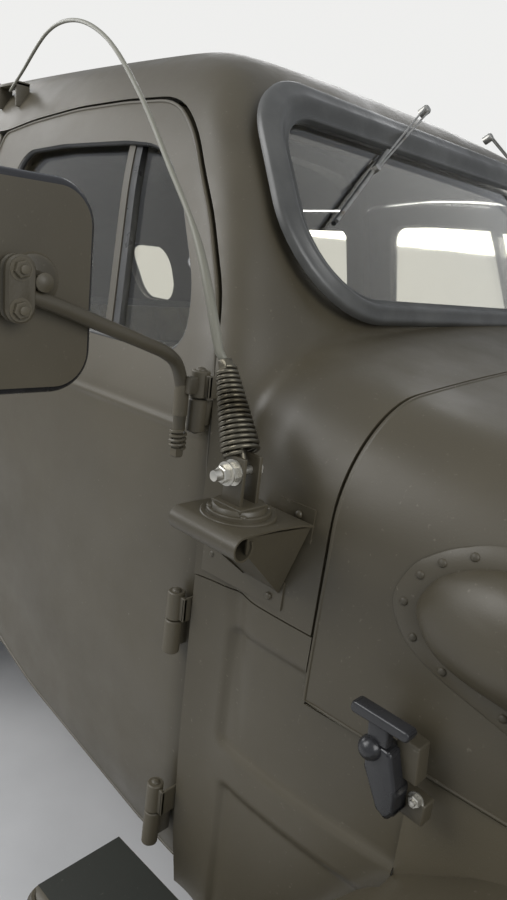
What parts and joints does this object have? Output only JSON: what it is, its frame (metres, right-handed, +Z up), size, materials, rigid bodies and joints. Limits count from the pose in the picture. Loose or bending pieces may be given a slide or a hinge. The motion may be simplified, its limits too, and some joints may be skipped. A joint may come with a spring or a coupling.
{
  "type": "army 4x4 car",
  "caption": "Closed army 4x4 car: rounded cab with side doors, long split bonnet, flat wings, barred grille, spare wheel on the tail and tied-down side aerials.",
  "frame": {"origin": "on the ground under the middle of the car's overall box", "axes": "+X forward, +Y to the car's left, +Z up"},
  "size_m": [4.5, 2.276, 1.955],
  "materials": {
    "olive_paint": "satin olive drab, slightly worn",
    "chassis_paint": "matt dark paint with road dust",
    "window_glass": "clear, dusty",
    "black_rubber": "aged",
    "tyre_rubber": "dusty",
    "rim_paint": "satin olive drab",
    "engine_iron": "painted casting",
    "rusty_steel": "surface rust",
    "seat_cloth": "canvas",
    "black_plastic": "worn gloss",
    "lamp_plastic": "red lens",
    "bare_steel": "dull"
  },
  "bodies": {
    "car": {"aerial_brackets": "olive_paint", "aerial_whips": "bare_steel", "body_shell": "olive_paint", "bonnet_hinge_rod": "bare_steel", "chassis_frame": "chassis_paint", "dashboard": "olive_paint", "driveline": "chassis_paint", "engine_block": "engine_iron", "exhaust": "rusty_steel", "fixed_glass": "window_glass", "floor_pan": "olive_paint", "front_axle": "chassis_paint", "front_bumper": "olive_paint", "front_wings": "olive_paint", "fuel_tank": "chassis_paint", "headlamps": "olive_paint", "leaf_springs": "chassis_paint", "mirrors": "olive_paint", "nose": "olive_paint", "radiator": "engine_iron", "rear_axle": "chassis_paint", "rear_bumper": "olive_paint", "rear_wings": "olive_paint", "seats": "seat_cloth", "spare_carrier": "olive_paint", "spare_rim": "rim_paint", "spare_tyre": "tyre_rubber", "steering_column": "olive_paint", "tail_lamps": "lamp_plastic", "windscreen_glass": "window_glass", "windscreen_rubber": "black_rubber"},
    "door_front_left": {"door_front_left": "olive_paint", "door_glass_front_left": "window_glass"},
    "door_front_right": {"door_front_right": "olive_paint", "door_glass_front_right": "window_glass"},
    "door_rear_left": {"door_rear_left": "olive_paint", "door_glass_rear_left": "window_glass"},
    "door_rear_right": {"door_rear_right": "olive_paint", "door_glass_rear_right": "window_glass"},
    "bonnet_left": {"bonnet_left": "olive_paint"},
    "bonnet_right": {"bonnet_right": "olive_paint"},
    "steering_wheel": {"steering_wheel": "black_plastic"},
    "knuckle_left": {"knuckle_left": "chassis_paint"},
    "knuckle_right": {"knuckle_right": "chassis_paint"},
    "wheel_front_left": {"tyre_front_left": "tyre_rubber", "rim_front_left": "rim_paint"},
    "wheel_front_right": {"tyre_front_right": "tyre_rubber", "rim_front_right": "rim_paint"},
    "wheel_rear_left": {"tyre_rear_left": "tyre_rubber", "rim_rear_left": "rim_paint"},
    "wheel_rear_right": {"tyre_rear_right": "tyre_rubber", "rim_rear_right": "rim_paint"}
  },
  "joints": [
    {"name": "door_front_left_hinge", "type": "hinge", "parent": "car", "child": "door_front_left", "pos_m": [0.8355, 0.786, 1.39], "axis": [0, 0.026, -0.9997], "range_deg": [0, 60]},
    {"name": "door_front_right_hinge", "type": "hinge", "parent": "car", "child": "door_front_right", "pos_m": [0.8355, -0.786, 1.39], "axis": [0, 0.026, 0.9997], "range_deg": [0, 60]},
    {"name": "door_rear_left_hinge", "type": "hinge", "parent": "car", "child": "door_rear_left", "pos_m": [-0.0395, 0.786, 1.39], "axis": [0, 0.026, -0.9997], "range_deg": [0, 60]},
    {"name": "door_rear_right_hinge", "type": "hinge", "parent": "car", "child": "door_rear_right", "pos_m": [-0.0395, -0.786, 1.39], "axis": [0, 0.026, 0.9997], "range_deg": [0, 60]},
    {"name": "bonnet_left_hinge", "type": "hinge", "parent": "car", "child": "bonnet_left", "pos_m": [1.061, 0, 1.473], "axis": [0.9949, 0, -0.1009], "range_deg": [0, 70]},
    {"name": "bonnet_right_hinge", "type": "hinge", "parent": "car", "child": "bonnet_right", "pos_m": [1.061, 0, 1.473], "axis": [-0.9949, 0, 0.1009], "range_deg": [0, 70]},
    {"name": "steer_left", "type": "hinge", "parent": "car", "child": "knuckle_left", "pos_m": [1.57, 0.665, 0.445], "axis": [0, 0, 1], "range_deg": [-27, 27]},
    {"name": "steer_right", "type": "hinge", "parent": "car", "child": "knuckle_right", "pos_m": [1.57, -0.665, 0.445], "axis": [0, 0, 1], "range_deg": [-27, 27]},
    {"name": "steering_wheel_turn", "type": "hinge", "parent": "car", "child": "steering_wheel", "pos_m": [0.6, 0.37, 1.15], "axis": [-0.8593, 0, 0.5115], "range_deg": [-432, 432]},
    {"name": "wheel_front_left_roll", "type": "hinge", "parent": "knuckle_left", "child": "wheel_front_left", "pos_m": [1.57, 0.79, 0.445], "axis": [0, 1, 0], "continuous": true},
    {"name": "wheel_front_right_roll", "type": "hinge", "parent": "knuckle_right", "child": "wheel_front_right", "pos_m": [1.57, -0.79, 0.445], "axis": [0, 1, 0], "continuous": true},
    {"name": "wheel_rear_left_roll", "type": "hinge", "parent": "car", "child": "wheel_rear_left", "pos_m": [-1.11, 0.79, 0.445], "axis": [0, 1, 0], "continuous": true},
    {"name": "wheel_rear_right_roll", "type": "hinge", "parent": "car", "child": "wheel_rear_right", "pos_m": [-1.11, -0.79, 0.445], "axis": [0, 1, 0], "continuous": true}
  ],
  "couplings": [
    {"joint": "steer_right", "follows": "steer_left", "ratio": 1},
    {"joint": "steering_wheel_turn", "follows": "steer_left", "ratio": 16}
  ]
}
